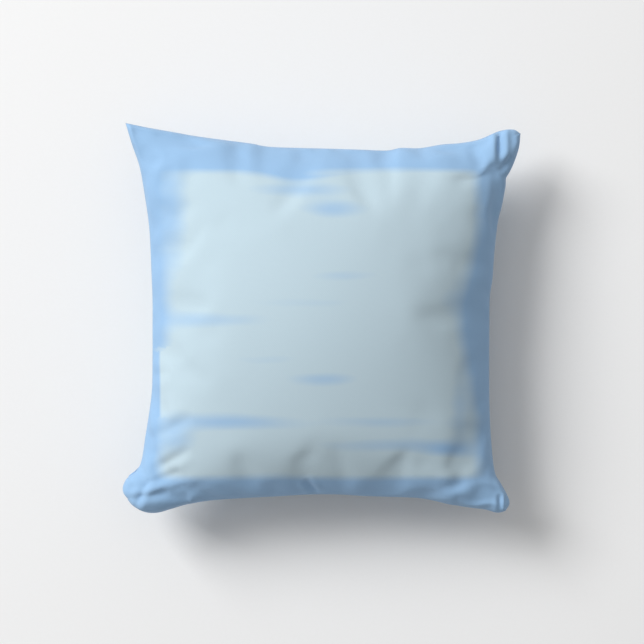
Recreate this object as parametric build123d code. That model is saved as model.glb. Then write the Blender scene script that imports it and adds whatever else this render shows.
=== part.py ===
from build123d import *
import os
from math import cos, radians, sin

# A square throw pillow: a printed zip-off cover over a stuffed inner cushion.
# It lies on its back. +X is the right of the print, +Y the top of the print, and +Z up
# through the printed front. The origin is the centre of the bounding box's underside,
# on the flat patch that the pillow rests on. All sizes are in millimetres.

# ---- Driving sizes: the pillow's outline at the seam, where front meets back ----
HALF_WIDTH_MID = 169.0  # half width across the middle, where the sides pull in
HALF_HEIGHT_MID = 172.5  # half height across the middle
CENTRE_Y = -4.0  # the middle of the pulled-in height, a little below the box's centre
FLARE_SIDE = 29.5  # how far a corner stands out past the middle of a side edge
FLARE_TOP = 27.0  # the same, past the middle of the top edge
FLARE_BOTTOM = 19.0  # the same, past the middle of the bottom edge
FLARE_POWER = 2.4  # how suddenly an edge turns out to its corners
STRAIGHT_SHARE = 0.72  # share of the bottom edge that stays straight, for the zip
SEAM_HEIGHT = 62.0  # the seam's height above the surface that the pillow lies on
RISE_FRONT = 84.0  # crown of the front above the seam
RISE_BACK = 72.0  # depth the back would have if nothing flattened it
PROFILE_ANGLE = radians(82)  # half angle of the arc a section follows, nearly a half circle
GRID = 21  # points up a panel's surface
HALF_GRID = 13  # points across half of it

# ---- Cloth, stuffing and thread ----
COVER_CLOTH = 0.8
COVER_ALLOWANCE = 10.0  # seam allowance turned in along the seam
INSERT_INSET = 12.0  # the inner cushion's seam, in from the cover's
INSERT_CLOTH = 0.5
INSERT_ALLOWANCE = 6.0
CLEARANCE = 0.4
CORNER_TRIM = 6.0  # how much a panel's inside stops short of its thin corners
THREAD = 0.3
COVER_STITCH_INSET = 2.3  # the seam's stitches, in from the outline
INSERT_STITCH_INSET = 1.5
OVERLOCK_WIDTH = 0.5

# ---- Zip, in the bottom seam, on a plane across Y ----
EDGE_BOTTOM = CENTRE_Y - HALF_HEIGHT_MID
ZIP_RECESS = 8.6  # the chain's middle, in from the bottom edge
ZIP_Y = EDGE_BOTTOM + ZIP_RECESS
SLOT_HALF_LENGTH = 131.0
SLOT_HALF_GAP = 4.2  # half the gap between the cover's two folded lips
LIP_TURN = 8.0  # cloth turned back along the tape, behind each lip
TAPE_HALF_LENGTH = 130.0
TAPE_EDGE = 0.65  # the tapes' inner edges, from the zip's middle line
TAPE_WIDTH = 10.8
TAPE_THICKNESS = 0.5
COIL_THICKNESS = 1.8
COIL_WIDTH = 1.55
COIL_START = -105.0  # the tapes run on past the bottom stop
COIL_END = 126.2
TOOTH_PITCH = 1.4
TOOTH_LENGTH = 0.7  # along the chain
TOOTH_DEPTH = 0.8
TOP_STOP_LENGTH = 3.0
TOP_STOP_WIDTH = 1.9
BOTTOM_STOP_LENGTH = 3.4
STOP_THICKNESS = 2.4
BOTTOM_STOP_HALF_WIDTH = 2.6

# ---- Slider and pull, closed: at the chain's right-hand end ----
SLIDER_X = 121.0
SLIDER_LENGTH = 9.0
SLIDER_MOUTH_HALF = 3.2
SLIDER_TAIL_HALF = 2.95
PLATE_THICKNESS = 1.05
RUNNING_GAP = 0.15
FLANGE_WIDTH = 0.6
FLANGE_TAPE_GAP = 0.2
INNER_PLATE_THICKNESS = 0.9
NECK_HALF = 0.5  # the neck joins the slider's plates and runs between the coils
NECK_LENGTH = 2.2
CROWN_HALF_LENGTH = 3.0
CROWN_HALF_WIDTH = 1.0
CROWN_LEG = 0.8
CROWN_HOLE = 1.65
PULL_BAR_RADIUS = 0.55
PULL_BAR_RISE = 0.85  # the bar's middle above the outer plate
PULL_LENGTH = 27.0
PULL_HALF_WIDTH = 3.4
PULL_EYE_HALF_WIDTH = 2.6
PULL_THICKNESS = 1.0
PULL_WINDOW_HALF = 1.4
PULL_WINDOW_END = 3.8  # the window's far end, from the bar's middle
PULL_HOLE_RADIUS = 1.3

# ---- Care label, sewn into the left side seam inside the cover ----
LABEL_X = -160.4
LABEL_Y = -45.0
LABEL_WIDTH = 35.0
LABEL_DROP = 13.0
LABEL_THICKNESS = 0.3


# ---------------------------------------------------------------- pillow panels
def outline_point(p, q, inset, trim):
    """A point of the flat plan: p and q run from -1 to 1 across and up the pillow."""
    side = (FLARE_SIDE - trim) * abs(q) ** FLARE_POWER
    x = p * (HALF_WIDTH_MID - inset) + p**3 * side
    if q > 0:
        corner = (FLARE_TOP - trim) * abs(p) ** FLARE_POWER
    else:
        past_zip = max(0.0, abs(p) - STRAIGHT_SHARE) / (1 - STRAIGHT_SHARE)
        corner = (FLARE_BOTTOM - trim) * past_zip**2
    y = CENTRE_Y + q * (HALF_HEIGHT_MID - inset) + q**3 * corner
    return x, y


def crown(u):
    """Height of a panel's section, 1 in the middle and 0 at the seam."""
    return (cos(PROFILE_ANGLE * u) - cos(PROFILE_ANGLE)) / (1 - cos(PROFILE_ANGLE))


def half_faces(inset, rise, base=0, trim=0):
    """The curved face of a panel's right half, the flat face across its rim, and its cut face.

    A negative rise hangs below the seam. The rim is at a height of base from the seam, and
    trim shortens its corners.
    """
    rows = []
    for j in range(GRID):
        v = -1 + 2 * j / (GRID - 1)
        q = sin(PROFILE_ANGLE * v) / sin(PROFILE_ANGLE)
        row = []
        for i in range(HALF_GRID):
            u = i / (HALF_GRID - 1)
            p = sin(PROFILE_ANGLE * u) / sin(PROFILE_ANGLE)
            x, y = outline_point(p, q, inset, trim)
            row.append((x, y, SEAM_HEIGHT + base + rise * crown(u) * crown(v)))
        rows.append(row)
    curved = Face.make_surface_from_array_of_points(rows, tol=0.05, min_deg=3, max_deg=5)
    edges = curved.edges().sort_by(lambda edge: edge.bounding_box().max.X)
    spine = edges[0]
    chord = Edge.make_line(spine @ 0, spine @ 1)
    rim = Face(Wire([*edges[1:], chord]))
    cut = Face(Wire([spine, chord]))
    return curved, rim, cut


def dome(inset, rise, base=0, trim=0):
    """The solid between one panel's curved face and the flat face across its rim."""
    half = Part() + Solid(Shell([*half_faces(inset, rise, base, trim)]))
    return half + mirror(half, about=Plane.YZ)


def outline_prism(inset, low, high, trim=0):
    """The outline at the seam, moved in by inset, between two heights."""
    rim = half_faces(inset, RISE_FRONT, 0, trim)[1]
    half = Pos(0, 0, low - SEAM_HEIGHT) * extrude(rim, amount=high - low, dir=(0, 0, 1))
    return half + mirror(half, about=Plane.YZ)


def block(x_low, x_high, y_low, y_high, z_low, z_high):
    """A box between the given limits."""
    centre = Pos((x_low + x_high) / 2, (y_low + y_high) / 2, (z_low + z_high) / 2)
    return centre * Box(x_high - x_low, y_high - y_low, z_high - z_low)


def slab(z_low, z_high):
    """Everything between two heights."""
    return block(-300, 300, -300, 300, z_low, z_high)


def shell_front(inset, rise, cloth, allowance):
    """A front panel: its dome hollowed out, with its seam allowance turned in."""
    room = dome(inset + cloth, rise - 2 * cloth, cloth, CORNER_TRIM)
    window = outline_prism(inset + allowance, SEAM_HEIGHT - 1, SEAM_HEIGHT + cloth + 0.5)
    return dome(inset, rise) - room - window


def shell_back(inset, rise, cloth, allowance, floor):
    """A back panel: as the front, but flattened where the pillow rests."""
    outer = dome(inset, -rise) & slab(floor, 300)
    room = dome(inset + cloth, 2 * cloth - rise, -cloth, CORNER_TRIM) & slab(floor + cloth, 300)
    window = outline_prism(inset + allowance, SEAM_HEIGHT - cloth - 0.5, SEAM_HEIGHT + 1)
    return outer - room - window


def stitch_ring(inset, z_low):
    """A line of stitching all round, as one thin band of thread, blunter at the corners."""
    trim = CORNER_TRIM + 2
    ring = outline_prism(inset, z_low, z_low + THREAD, trim)
    return ring - outline_prism(inset + THREAD, z_low - 1, z_low + THREAD + 1, trim)


# ---------------------------------------------------------------- the cover
def zip_opening():
    """The space that the zip takes out of the cover's seam."""
    return block(
        -SLOT_HALF_LENGTH,
        SLOT_HALF_LENGTH,
        EDGE_BOTTOM - 10,
        EDGE_BOTTOM + COVER_ALLOWANCE + 1,
        SEAM_HEIGHT - SLOT_HALF_GAP,
        SEAM_HEIGHT + SLOT_HALF_GAP,
    )


def zip_lip(side):
    """The cloth folded in along the zip; side is 1 for the front and -1 for the back."""
    tape_face = ZIP_Y + COIL_THICKNESS / 2
    edge = SEAM_HEIGHT + side * SLOT_HALF_GAP
    fold = edge + side * COVER_CLOTH
    turn = edge + side * LIP_TURN
    x = SLOT_HALF_LENGTH
    lip = block(-x, x, EDGE_BOTTOM, tape_face, min(edge, fold), max(edge, fold))
    back = block(-x, x, tape_face - COVER_CLOTH, tape_face, min(edge, turn), max(edge, turn))
    return lip + back


def cover_front():
    panel = shell_front(0, RISE_FRONT, COVER_CLOTH, COVER_ALLOWANCE) - zip_opening()
    return panel + (zip_lip(1) & dome(0, RISE_FRONT))


def cover_back():
    panel = shell_back(0, RISE_BACK, COVER_CLOTH, COVER_ALLOWANCE, 0) - zip_opening()
    return panel + (zip_lip(-1) & dome(0, -RISE_BACK))


def without_zip(band):
    """Stops a band of thread at the two ends of the zip."""
    return band - block(-SLOT_HALF_LENGTH, SLOT_HALF_LENGTH, -300, 0, 0, 300)


def cover_seam_thread():
    """Needle thread on the front's allowance and bobbin thread under the back's."""
    needle = stitch_ring(COVER_STITCH_INSET, SEAM_HEIGHT + COVER_CLOTH)
    bobbin = stitch_ring(COVER_STITCH_INSET, SEAM_HEIGHT - COVER_CLOTH - THREAD)
    return without_zip(needle) + without_zip(bobbin)


def cover_overlock_thread():
    """Overlocking round the raw edges of the allowances."""
    low = SEAM_HEIGHT - COVER_CLOTH
    high = SEAM_HEIGHT + COVER_CLOTH
    ring = outline_prism(COVER_ALLOWANCE + 0.02, low, high)
    ring = ring - outline_prism(COVER_ALLOWANCE + OVERLOCK_WIDTH, low - 1, high + 1)
    return without_zip(ring)


def care_label():
    top = SEAM_HEIGHT - COVER_CLOTH
    return block(
        LABEL_X - LABEL_THICKNESS / 2,
        LABEL_X + LABEL_THICKNESS / 2,
        LABEL_Y - LABEL_WIDTH / 2,
        LABEL_Y + LABEL_WIDTH / 2,
        top - LABEL_DROP,
        top,
    )


# ---------------------------------------------------------------- the inner cushion
def insert_front():
    rise = RISE_FRONT - COVER_CLOTH - CLEARANCE
    return shell_front(INSERT_INSET, rise, INSERT_CLOTH, INSERT_ALLOWANCE)


def insert_back():
    floor = COVER_CLOTH + CLEARANCE
    rise = RISE_BACK - COVER_CLOTH - CLEARANCE
    return shell_back(INSERT_INSET, rise, INSERT_CLOTH, INSERT_ALLOWANCE, floor)


def insert_seam_thread():
    inset = INSERT_INSET + INSERT_STITCH_INSET
    needle = stitch_ring(inset, SEAM_HEIGHT + INSERT_CLOTH)
    bobbin = stitch_ring(inset, SEAM_HEIGHT - INSERT_CLOTH - THREAD)
    return needle + bobbin


def insert_fill():
    """The stuffing, clear of the inner cushion's cloth, allowance and stitches."""
    inset = INSERT_INSET + INSERT_CLOTH + CLEARANCE
    step = INSERT_CLOTH + THREAD + CLEARANCE
    lost = COVER_CLOTH + INSERT_CLOTH + 2 * CLEARANCE
    trim = 2 * CORNER_TRIM
    over = dome(inset, RISE_FRONT - lost - step, step, trim)
    under = dome(inset, lost + step - RISE_BACK, -step, trim) & slab(lost, 300)
    middle_inset = INSERT_INSET + INSERT_ALLOWANCE + CLEARANCE
    low, high = SEAM_HEIGHT - step - 0.5, SEAM_HEIGHT + step + 0.5
    middle = outline_prism(middle_inset, low, high, 3 * CORNER_TRIM)
    return over + middle + under


# ---------------------------------------------------------------- the zip
def along_zip(profile_points, y_low, y_high):
    """A flat shape, drawn in X and height above the zip's middle line, given thickness in Y."""
    shape = make_face(Polyline(*profile_points, close=True))
    standing = Plane(origin=(0, y_high, SEAM_HEIGHT), x_dir=(1, 0, 0), z_dir=(0, -1, 0))
    return extrude(standing * shape, amount=y_high - y_low, dir=(0, -1, 0))


def zipper_tape(side):
    y_low = ZIP_Y + COIL_THICKNESS / 2
    near = SEAM_HEIGHT + side * TAPE_EDGE
    far = near + side * TAPE_WIDTH
    x = TAPE_HALF_LENGTH
    return block(-x, x, y_low, y_low + TAPE_THICKNESS, min(near, far), max(near, far))


def zipper_coil(side):
    """Half of the chain: a spine with a row of teeth towards the middle line."""
    spine = TAPE_EDGE + TOOTH_DEPTH
    outer = TAPE_EDGE + COIL_WIDTH
    shift = TOOTH_PITCH / 2 if side < 0 else 0
    points = [(COIL_START, side * outer), (COIL_START, side * spine)]
    count = int((COIL_END - COIL_START - TOOTH_PITCH) / TOOTH_PITCH)
    for k in range(count):
        start = COIL_START + 0.3 + shift + k * TOOTH_PITCH
        end = start + TOOTH_LENGTH
        points.append((start, side * spine))
        points.append((start, side * TAPE_EDGE))
        points.append((end, side * TAPE_EDGE))
        points.append((end, side * spine))
    points.append((COIL_END, side * spine))
    points.append((COIL_END, side * outer))
    return along_zip(points, ZIP_Y - COIL_THICKNESS / 2, ZIP_Y + COIL_THICKNESS / 2)


def zipper_stitches(side):
    """A row of thread that holds one tape to the cover's turned-in cloth."""
    tape_back = ZIP_Y + COIL_THICKNESS / 2 + TAPE_THICKNESS
    z = SEAM_HEIGHT + side * (SLOT_HALF_GAP + LIP_TURN / 2)
    x = TAPE_HALF_LENGTH - 1
    return block(-x, x, tape_back, tape_back + THREAD, z - THREAD / 2, z + THREAD / 2)


def zipper_top_stops():
    """One crimped stop on the end of each coil."""
    stops = Part()
    for side in (1, -1):
        near = SEAM_HEIGHT + side * TAPE_EDGE
        far = near + side * TOP_STOP_WIDTH
        x_high = COIL_END + TOP_STOP_LENGTH
        y_low = ZIP_Y - STOP_THICKNESS / 2
        y_high = ZIP_Y + COIL_THICKNESS / 2
        stop = block(COIL_END, x_high, y_low, y_high, min(near, far), max(near, far))
        stops += fillet(stop.edges().filter_by(Axis.Z), 0.5)
    return stops


def zipper_bottom_stop():
    """A crimped bar across both coils at the chain's closed end."""
    x_low = COIL_START - BOTTOM_STOP_LENGTH
    y_low = ZIP_Y - STOP_THICKNESS / 2
    z = BOTTOM_STOP_HALF_WIDTH
    y_high = ZIP_Y + COIL_THICKNESS / 2
    bar = block(x_low, COIL_START, y_low, y_high, SEAM_HEIGHT - z, SEAM_HEIGHT + z)
    return fillet(bar.edges().filter_by(Axis.Z), 0.6)


def slider_plan(half_mouth, half_tail):
    """The slider's plan: wide at the mouth, on the right, and narrower at the tail."""
    half = SLIDER_LENGTH / 2
    return [
        (SLIDER_X - half, half_tail - 0.6),
        (SLIDER_X - half + 0.6, half_tail),
        (SLIDER_X + half - 1.2, half_mouth),
        (SLIDER_X + half, half_mouth - 1.0),
        (SLIDER_X + half, 1.0 - half_mouth),
        (SLIDER_X + half - 1.2, -half_mouth),
        (SLIDER_X - half + 0.6, -half_tail),
        (SLIDER_X - half, 0.6 - half_tail),
    ]


def slider_crown():
    """The arch on the outer plate that holds the pull's bar."""
    plate_face = ZIP_Y - COIL_THICKNESS / 2 - RUNNING_GAP - PLATE_THICKNESS
    half = CROWN_HALF_LENGTH
    z = CROWN_HALF_WIDTH
    top = plate_face - CROWN_HOLE - CROWN_LEG
    z_low, z_high = SEAM_HEIGHT - z, SEAM_HEIGHT + z
    arch = block(SLIDER_X - half, SLIDER_X + half, top, plate_face, z_low, z_high)
    outer_edges = arch.edges().filter_by(Axis.Z).group_by(Axis.Y)[0]
    arch = fillet(outer_edges, 1.2)
    room = half - CROWN_LEG
    hole = block(SLIDER_X - room, SLIDER_X + room, top + CROWN_LEG, plate_face, z_low - 1, z_high + 1)
    return arch - hole


def zipper_slider():
    coil_front = ZIP_Y - COIL_THICKNESS / 2
    coil_back = ZIP_Y + COIL_THICKNESS / 2
    plate_back = coil_front - RUNNING_GAP
    plate_front = plate_back - PLATE_THICKNESS
    outer_plan = slider_plan(SLIDER_MOUTH_HALF, SLIDER_TAIL_HALF)
    outer = along_zip(outer_plan, plate_front, plate_back)
    flange_foot = coil_back - FLANGE_TAPE_GAP
    rim = along_zip(outer_plan, plate_back - 0.2, flange_foot)
    channel_half = SLIDER_TAIL_HALF - FLANGE_WIDTH
    channel = block(
        SLIDER_X - SLIDER_LENGTH,
        SLIDER_X + SLIDER_LENGTH,
        plate_back,
        flange_foot + 1,
        SEAM_HEIGHT - channel_half,
        SEAM_HEIGHT + channel_half,
    )
    flanges = rim - channel
    tape_back = coil_back + TAPE_THICKNESS
    inner_front = tape_back + FLANGE_TAPE_GAP
    inner_plan = slider_plan(SLIDER_MOUTH_HALF - 0.3, SLIDER_TAIL_HALF - 0.3)
    inner = along_zip(inner_plan, inner_front, inner_front + INNER_PLATE_THICKNESS)
    neck_end = SLIDER_X + SLIDER_LENGTH / 2 - 0.4
    neck = block(
        neck_end - NECK_LENGTH,
        neck_end,
        plate_back - 0.2,
        inner_front + 0.2,
        SEAM_HEIGHT - NECK_HALF,
        SEAM_HEIGHT + NECK_HALF,
    )
    return outer + flanges + inner + neck + slider_crown()


def pull_bar_y():
    """The pull's hinge line, across Y."""
    plate_face = ZIP_Y - COIL_THICKNESS / 2 - RUNNING_GAP - PLATE_THICKNESS
    return plate_face - PULL_BAR_RISE


def zipper_pull():
    """A flat tab that points left along the chain, with a round bar under the slider's crown."""
    bar_y = pull_bar_y()
    y_low = bar_y - PULL_THICKNESS / 2
    y_high = bar_y + PULL_THICKNESS / 2
    eye_end = SLIDER_X + PULL_THICKNESS / 2
    shoulder = SLIDER_X - PULL_WINDOW_END - 1.5
    tip = SLIDER_X - PULL_LENGTH
    tab = along_zip(
        [
            (eye_end, PULL_EYE_HALF_WIDTH),
            (shoulder, PULL_EYE_HALF_WIDTH),
            (shoulder - 5, PULL_HALF_WIDTH),
            (tip + 2, PULL_HALF_WIDTH),
            (tip, PULL_HALF_WIDTH - 2),
            (tip, 2 - PULL_HALF_WIDTH),
            (tip + 2, -PULL_HALF_WIDTH),
            (shoulder - 5, -PULL_HALF_WIDTH),
            (shoulder, -PULL_EYE_HALF_WIDTH),
            (eye_end, -PULL_EYE_HALF_WIDTH),
        ],
        y_low,
        y_high,
    )
    window = block(
        SLIDER_X - PULL_WINDOW_END,
        eye_end + 1,
        y_low - 1,
        y_high + 1,
        SEAM_HEIGHT - PULL_WINDOW_HALF,
        SEAM_HEIGHT + PULL_WINDOW_HALF,
    )
    hole = Pos(tip + 4.2, bar_y, SEAM_HEIGHT) * Rot(90, 0, 0)
    tab = tab - window - hole * Cylinder(PULL_HOLE_RADIUS, 4 * PULL_THICKNESS)
    bar = Pos(SLIDER_X, bar_y, SEAM_HEIGHT)
    return tab + bar * Cylinder(PULL_BAR_RADIUS, 2 * PULL_EYE_HALF_WIDTH)


def main():
    parts = {
        "cover_front": cover_front(),
        "cover_back": cover_back(),
        "cover_seam_thread": cover_seam_thread(),
        "cover_overlock_thread": cover_overlock_thread(),
        "care_label": care_label(),
        "insert_front": insert_front(),
        "insert_back": insert_back(),
        "insert_seam_thread": insert_seam_thread(),
        "insert_fill": insert_fill(),
        "zipper_top_stops": zipper_top_stops(),
        "zipper_bottom_stop": zipper_bottom_stop(),
        "zipper_slider": zipper_slider(),
        "zipper_pull": zipper_pull(),
    }
    for name, side in (("front", 1), ("back", -1)):
        parts["zipper_tape_" + name] = zipper_tape(side)
        parts["zipper_coil_" + name] = zipper_coil(side)
        parts["zipper_stitches_" + name] = zipper_stitches(side)
    os.makedirs("parts", exist_ok=True)
    for node, shape in parts.items():
        export_step(shape, "parts/" + node + ".step")
    print("pull hinge line at x", SLIDER_X, "y", round(pull_bar_y(), 3), "z", SEAM_HEIGHT)


main()
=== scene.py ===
"""A square stuffed throw pillow: a printed cotton cover with a zip, over a stuffed inner cushion.

It lies on its back on a pale floor and is seen from straight above, in soft studio light.
"""

import logging
import math
from dataclasses import dataclass
from enum import Enum

import bpy
import numpy as np
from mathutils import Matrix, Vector


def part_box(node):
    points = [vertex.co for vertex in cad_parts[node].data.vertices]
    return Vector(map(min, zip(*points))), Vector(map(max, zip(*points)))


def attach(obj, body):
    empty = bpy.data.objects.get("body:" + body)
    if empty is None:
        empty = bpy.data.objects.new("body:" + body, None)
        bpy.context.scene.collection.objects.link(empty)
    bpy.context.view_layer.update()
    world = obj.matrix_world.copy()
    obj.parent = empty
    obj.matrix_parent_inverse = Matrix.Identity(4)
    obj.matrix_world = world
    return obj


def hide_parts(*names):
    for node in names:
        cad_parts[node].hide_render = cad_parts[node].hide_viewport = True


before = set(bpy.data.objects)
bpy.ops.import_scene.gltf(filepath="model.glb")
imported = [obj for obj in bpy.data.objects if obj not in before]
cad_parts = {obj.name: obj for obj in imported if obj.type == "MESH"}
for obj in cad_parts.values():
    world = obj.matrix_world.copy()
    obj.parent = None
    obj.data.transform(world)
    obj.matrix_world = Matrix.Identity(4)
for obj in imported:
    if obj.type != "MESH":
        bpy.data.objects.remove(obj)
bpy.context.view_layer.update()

MM = 0.001
LOG = logging.getLogger("pillow")


# ------------------------------------------------------------------ small tools
def linear(hex_colour: str) -> tuple[float, float, float, float]:
    """Turns an sRGB hex colour to linear light.

    Args:
        hex_colour: Six hex digits.

    Returns:
        Red, green, blue and an alpha of 1.
    """
    parts = [int(hex_colour[k : k + 2], 16) / 255 for k in (0, 2, 4)]
    red, green, blue = (c / 12.92 if c <= 0.04045 else ((c + 0.055) / 1.055) ** 2.4 for c in parts)
    return red, green, blue, 1.0


def add(tree: bpy.types.NodeTree, kind: str, links: dict | None = None, **settings) -> bpy.types.Node:
    """Adds one node.

    Args:
        tree: The material's node tree.
        kind: The node's type name.
        links: For each input, a socket to link from or a value to set.
        **settings: The node's own properties.

    Returns:
        The new node.
    """
    node = tree.nodes.new(kind)
    for key, value in settings.items():
        setattr(node, key, value)
    for key, value in (links or {}).items():
        if isinstance(value, bpy.types.NodeSocket):
            tree.links.new(value, node.inputs[key])
        else:
            node.inputs[key].default_value = value
    return node


def math_node(tree: bpy.types.NodeTree, operation: str, *values) -> bpy.types.NodeSocket:
    """Adds a Math node of the given operation and returns its output."""
    return add(tree, "ShaderNodeMath", dict(enumerate(values)), operation=operation).outputs[0]


def blend_colours(tree: bpy.types.NodeTree, share, low, high) -> bpy.types.NodeSocket:
    """Adds a colour mix, low where share is 0 and high where it is 1, and returns its colour."""
    node = add(tree, "ShaderNodeMix", {0: share, 6: low, 7: high}, data_type="RGBA")
    return node.outputs[2]


def new_material(name: str) -> tuple[bpy.types.Material, bpy.types.NodeTree, bpy.types.Node]:
    """Makes a node material.

    Returns:
        The material, its tree and its Principled shader.
    """
    material = bpy.data.materials.new(name)
    material.use_nodes = True
    tree = material.node_tree
    return material, tree, tree.nodes["Principled BSDF"]


def smooth_line(knots: list, count: int) -> np.ndarray:
    """A smooth line through knots: cubic pieces whose tangents are half the chord between neighbours.

    Args:
        knots: Points of any number of columns.
        count: How many points to return.

    Returns:
        An array with one row for each point.
    """
    points = np.array(knots, dtype=float)
    ends = np.vstack([2 * points[0] - points[1], points, 2 * points[-1] - points[-2]])
    t = np.linspace(0, len(points) - 1, count)
    i = np.minimum(t.astype(int), len(points) - 2)
    f = (t - i)[:, None]
    a, b, c, d = ends[i], ends[i + 1], ends[i + 2], ends[i + 3]
    return 0.5 * (
        2 * b + (c - a) * f + (2 * a - 5 * b + 4 * c - d) * f**2 + (3 * b - a - 3 * c + d) * f**3
    )


def run_share(line: np.ndarray) -> np.ndarray:
    """Share of a line's length that lies before each of its points, from 0 to 1."""
    steps = np.linalg.norm(np.diff(line[:, :2], axis=0), axis=1)
    run = np.concatenate([[0], np.cumsum(steps)])
    return run / run[-1]


def blurred(values: np.ndarray, rounds: int) -> np.ndarray:
    """Smooths a grid: each round averages every point with its neighbours, weights 1, 2, 1."""
    out = values
    for _ in range(rounds):
        for axis in (0, 1):
            ends = [(1, 1) if k == axis else (0, 0) for k in range(out.ndim)]
            wide = np.pad(out, ends, mode="edge")
            low = np.take(wide, range(0, out.shape[axis]), axis)
            high = np.take(wide, range(2, out.shape[axis] + 2), axis)
            out = (low + 2 * out + high) / 4
    return out


def refined(values: np.ndarray, count: int) -> np.ndarray:
    """Spreads a square grid of vectors over count x count points, evenly, and rounds off its facets."""
    old = np.linspace(0, 1, values.shape[0])
    new = np.linspace(0, 1, count)
    low = np.clip(np.searchsorted(old, new, side="right") - 1, 0, len(old) - 2)
    f = (new - old[low]) / (old[1] - old[0])
    rows = values[low] * (1 - f)[:, None, None] + values[low + 1] * f[:, None, None]
    full = rows[:, low] * (1 - f)[None, :, None] + rows[:, low + 1] * f[None, :, None]
    return blurred(full, 3)


def grid_faces(rows: int, columns: int, wrap: bool = False, start: int = 0) -> np.ndarray:
    """Quads of a grid of points numbered row by row; wrap joins the last column to the first."""
    i = np.arange(rows - 1)[:, None]
    j = np.arange(columns if wrap else columns - 1)[None, :]
    k = (j + 1) % columns
    corners = [i * columns + j, i * columns + k, (i + 1) * columns + k, (i + 1) * columns + j]
    return np.stack([np.broadcast_to(c, (rows - 1, j.size)) for c in corners], -1).reshape(-1, 4) + start


def make_piece(name: str, points_mm: np.ndarray, faces: list, material: bpy.types.Material) -> bpy.types.Object:
    """Makes a smooth mesh object at the origin.

    Args:
        name: The piece's name.
        points_mm: Its points in millimetres.
        faces: Its faces, each a list of point numbers.
        material: Its material.

    Returns:
        The new object, linked to the scene.
    """
    mesh = bpy.data.meshes.new(name)
    mesh.from_pydata(points_mm.reshape(-1, 3) * MM, [], faces)
    mesh.shade_smooth()
    mesh.materials.append(material)
    piece = bpy.data.objects.new(name, mesh)
    bpy.context.scene.collection.objects.link(piece)
    return piece


def give_values(mesh: bpy.types.Mesh, name: str, values: np.ndarray) -> None:
    """Stores one number for each point of a mesh, as a named attribute."""
    attribute = mesh.attributes.new(name, "FLOAT", "POINT")
    attribute.data.foreach_set("value", values.astype(np.float32).ravel())


def outward(piece: bpy.types.Object) -> bpy.types.Object:
    """Turns a closed piece's faces so that they point outwards."""
    bpy.context.view_layer.objects.active = piece
    bpy.ops.object.select_all(action="DESELECT")
    piece.select_set(True)
    bpy.ops.object.mode_set(mode="EDIT")
    bpy.ops.mesh.select_all(action="SELECT")
    bpy.ops.mesh.normals_make_consistent(inside=False)
    bpy.ops.object.mode_set(mode="OBJECT")
    return piece


def finish_piece(piece: bpy.types.Object, body: str, slot: str, *nodes: str) -> bpy.types.Object:
    """Puts a piece on its body, hides the nodes that it stands for, and reports it."""
    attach(piece, body)
    if nodes:
        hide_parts(*nodes)
    LOG.info("%s: %d faces on %s", piece.name, len(piece.data.polygons), body)
    return piece


# ------------------------------------------------------------------ finishes


SKY = "8FB3D6"
PALE_SKY = "B5C9D3"


@dataclass(frozen=True)
class PrintedCotton:
    """Dye-printed cotton poplin: matt, soft, with a fine even weave that barely catches the light."""

    name: str = "printed_cotton_poplin"
    thread_mm: float = 1.1  # poplin's threads are 0.3 mm apart, drawn coarser so that they show
    roughness: float = 0.88

    def weave(self, tree: bpy.types.NodeTree) -> bpy.types.NodeSocket:
        """Adds the bump of a plain weave: the product of two sines, one along each thread."""
        uv = add(tree, "ShaderNodeUVMap", uv_map="cloth").outputs[0]
        axes = add(tree, "ShaderNodeSeparateXYZ", {0: uv})
        turn = math.pi / (self.thread_mm * MM)
        waves = [
            math_node(tree, "SINE", math_node(tree, "MULTIPLY", axes.outputs[k], turn)) for k in (0, 1)
        ]
        height = math_node(tree, "MULTIPLY", *waves)
        links = {"Strength": 0.16, "Distance": 0.0002, "Height": height}
        return add(tree, "ShaderNodeBump", links).outputs[0]

    def sky(self, tree: bpy.types.NodeTree) -> bpy.types.NodeSocket:
        """Adds the painted sky: blue, with a pale brushed middle that streaks run across."""
        place = add(tree, "ShaderNodeTexCoord").outputs["Object"]
        long = add(tree, "ShaderNodeMapping", {0: place, 3: (9.0, 38.0, 9.0)}).outputs[0]
        brush = add(tree, "ShaderNodeTexNoise", {"Vector": long, "Scale": 1.0, "Detail": 3.0})
        cloud = add(tree, "ShaderNodeAttribute", attribute_name="cloud").outputs["Fac"]
        swing = math_node(tree, "MULTIPLY_ADD", brush.outputs["Fac"], 0.5, -0.25)
        edge = math_node(tree, "ADD", cloud, swing)
        share = add(tree, "ShaderNodeMapRange", {0: edge, 1: 0.15, 2: 0.85}).outputs[0]
        return blend_colours(tree, share, linear(SKY), linear(PALE_SKY))

    def build(self) -> bpy.types.Material:
        """Makes the material."""
        material, tree, shader = new_material(self.name)
        colour = self.sky(tree)
        tree.links.new(colour, shader.inputs["Base Color"])
        tree.links.new(self.weave(tree), shader.inputs["Normal"])
        shader.inputs["Roughness"].default_value = self.roughness
        shader.inputs["Sheen Weight"].default_value = 0.12
        shader.inputs["Sheen Roughness"].default_value = 0.6
        shader.inputs["Specular IOR Level"].default_value = 0.3
        return material


class Pattern(Enum):
    """How a plain finish's surface is textured."""

    WOVEN = "woven"
    FIBRE = "fibre"
    TWISTED = "twisted"
    BRUSHED = "brushed"
    MOULDED = "moulded"


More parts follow.
